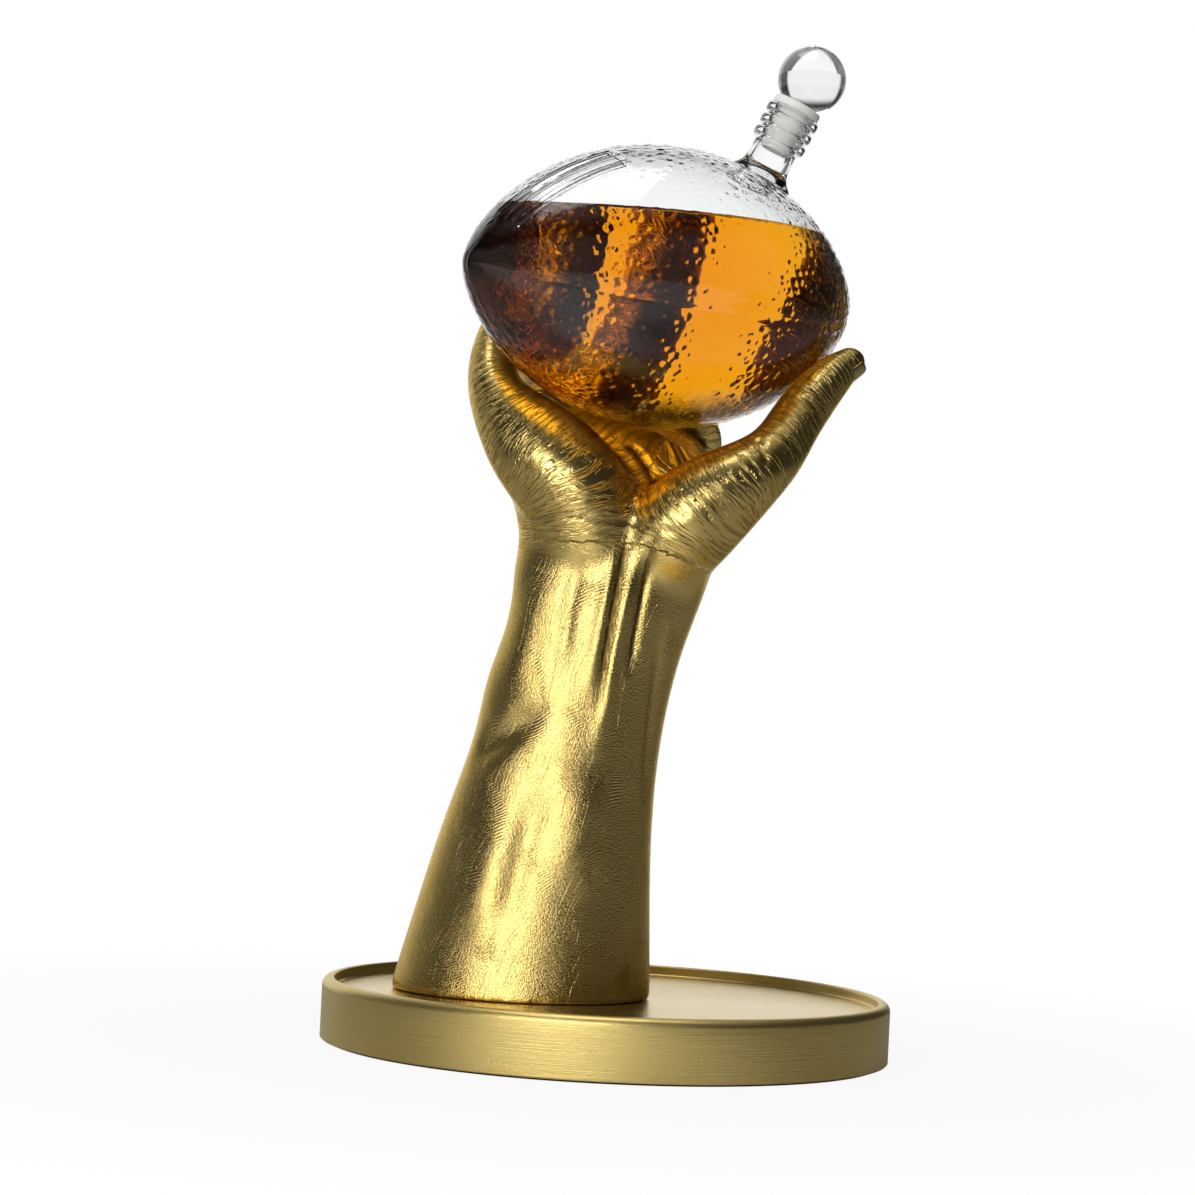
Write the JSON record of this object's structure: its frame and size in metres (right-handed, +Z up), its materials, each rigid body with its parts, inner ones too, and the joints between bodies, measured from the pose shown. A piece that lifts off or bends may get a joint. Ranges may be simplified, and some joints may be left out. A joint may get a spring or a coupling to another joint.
{
  "type": "figural liquor decanter",
  "caption": "Football-shaped glass liquor decanter with a ball stopper, cradled in an upright gold hand and forearm that is screwed to a round gold tray base.",
  "frame": {"origin": "centre of the felt pad's underside, on the round tray's axis, at the lowest level of the object", "axes": "+Z up from the table, +X to the right of the palm side as pictured, +Y away from the viewer, through the palm"},
  "size_m": [0.19, 0.19, 0.3447],
  "materials": {
    "gold_casting": "satin gold finish on a cold-cast hand",
    "tray_brass": "brushed satin gold",
    "board_wood": "unfinished fibreboard",
    "base_felt": "black felt",
    "screw_steel": "plain zinc-plated steel",
    "insert_brass": "plain machined brass",
    "clear_glass": "clear pebbled glass",
    "amber_liquor": "clear amber liquid",
    "sleeve_plastic": "translucent milky plastic"
  },
  "bodies": {
    "stand": {"base_tray": "tray_brass", "base_board": "board_wood", "felt_pad": "base_felt", "arm_screws": "screw_steel", "screw_washers": "screw_steel", "threaded_inserts": "insert_brass", "hand_casting": "gold_casting"},
    "decanter": {"decanter_bottle": "clear_glass", "liquor": "amber_liquor"},
    "stopper": {"stopper_ball": "clear_glass", "stopper_sleeve": "sleeve_plastic"}
  },
  "joints": [
    {"name": "decanter_lift", "type": "slide", "parent": "stand", "child": "decanter", "axis": [0, 0, 1], "range_m": [0, 0.11]},
    {"name": "stopper_pull", "type": "slide", "parent": "decanter", "child": "stopper", "axis": [0.4272, 0.0118, 0.9041], "range_m": [0, 0.04]}
  ]
}
